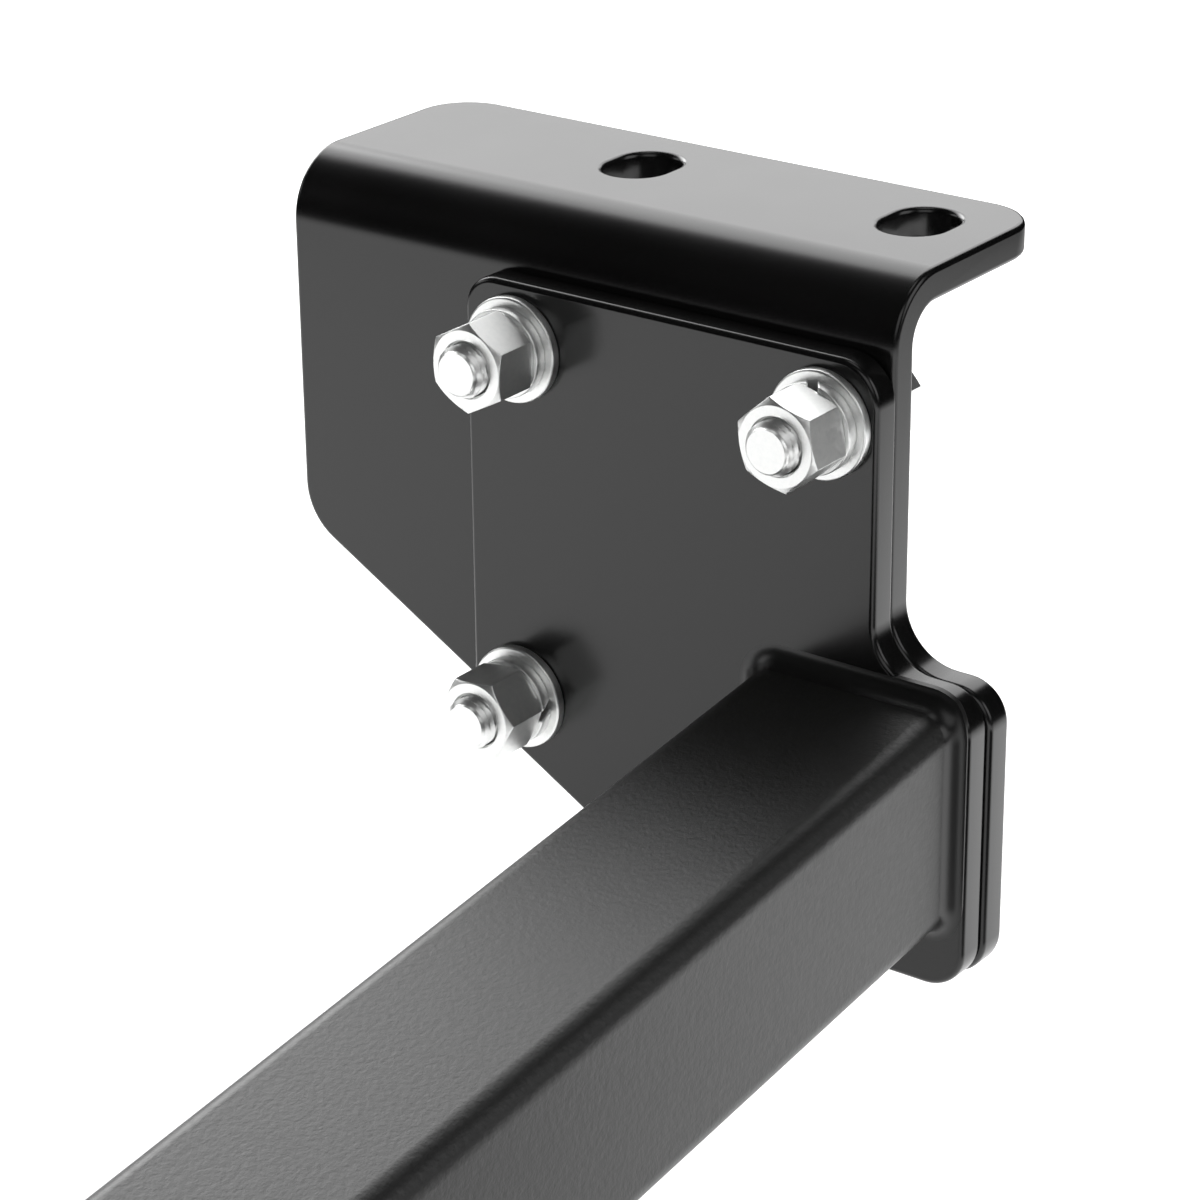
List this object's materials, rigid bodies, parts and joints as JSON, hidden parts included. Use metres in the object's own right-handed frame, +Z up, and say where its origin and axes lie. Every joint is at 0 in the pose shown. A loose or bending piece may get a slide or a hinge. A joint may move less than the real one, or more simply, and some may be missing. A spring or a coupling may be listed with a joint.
{
  "type": "trailer hitch receiver",
  "caption": "Bent square cross tube between slotted side brackets that bolt up under a vehicle's frame, with a square receiver tube for a ball mount, a hitch pin hole and a safety chain plate.",
  "frame": {"origin": "centre of the four frame slots, on the flat top of the two side brackets", "axes": "+X to the vehicle's right along the cross tube, +Y forward, away from the receiver's mouth, +Z up"},
  "size_m": [1.036, 0.3485, 0.2464],
  "materials": {
    "black_powder_coat": "gloss black powder coat on steel plate",
    "textured_black_powder_coat": "satin, finely textured black powder coat on steel tube",
    "painted_weld_bead": "weld bead under the same black powder coat",
    "bright_zinc_plate": "bright zinc plated steel"
  },
  "bodies": {
    "root": {"cross_tube": "textured_black_powder_coat", "receiver_tube": "black_powder_coat", "receiver_collar": "black_powder_coat", "chain_plate": "black_powder_coat", "receiver_welds": "painted_weld_bead", "collar_weld": "painted_weld_bead", "chain_plate_welds": "painted_weld_bead", "right_end_plate": "black_powder_coat", "right_side_bracket": "black_powder_coat", "right_tube_weld": "painted_weld_bead", "right_gusset": "black_powder_coat", "right_gusset_welds": "painted_weld_bead", "left_end_plate": "black_powder_coat", "left_side_bracket": "black_powder_coat", "left_tube_weld": "painted_weld_bead", "left_gusset": "black_powder_coat", "left_gusset_welds": "painted_weld_bead", "right_front_bolt": "bright_zinc_plate", "right_front_washer": "bright_zinc_plate", "right_front_lock_washer": "bright_zinc_plate", "right_front_nut": "bright_zinc_plate", "right_rear_bolt": "bright_zinc_plate", "right_rear_washer": "bright_zinc_plate", "right_rear_lock_washer": "bright_zinc_plate", "right_rear_nut": "bright_zinc_plate", "right_lower_bolt": "bright_zinc_plate", "right_lower_washer": "bright_zinc_plate", "right_lower_lock_washer": "bright_zinc_plate", "right_lower_nut": "bright_zinc_plate", "left_front_bolt": "bright_zinc_plate", "left_front_washer": "bright_zinc_plate", "left_front_lock_washer": "bright_zinc_plate", "left_front_nut": "bright_zinc_plate", "left_rear_bolt": "bright_zinc_plate", "left_rear_washer": "bright_zinc_plate", "left_rear_lock_washer": "bright_zinc_plate", "left_rear_nut": "bright_zinc_plate", "left_lower_bolt": "bright_zinc_plate", "left_lower_washer": "bright_zinc_plate", "left_lower_lock_washer": "bright_zinc_plate", "left_lower_nut": "bright_zinc_plate"}
  },
  "joints": []
}
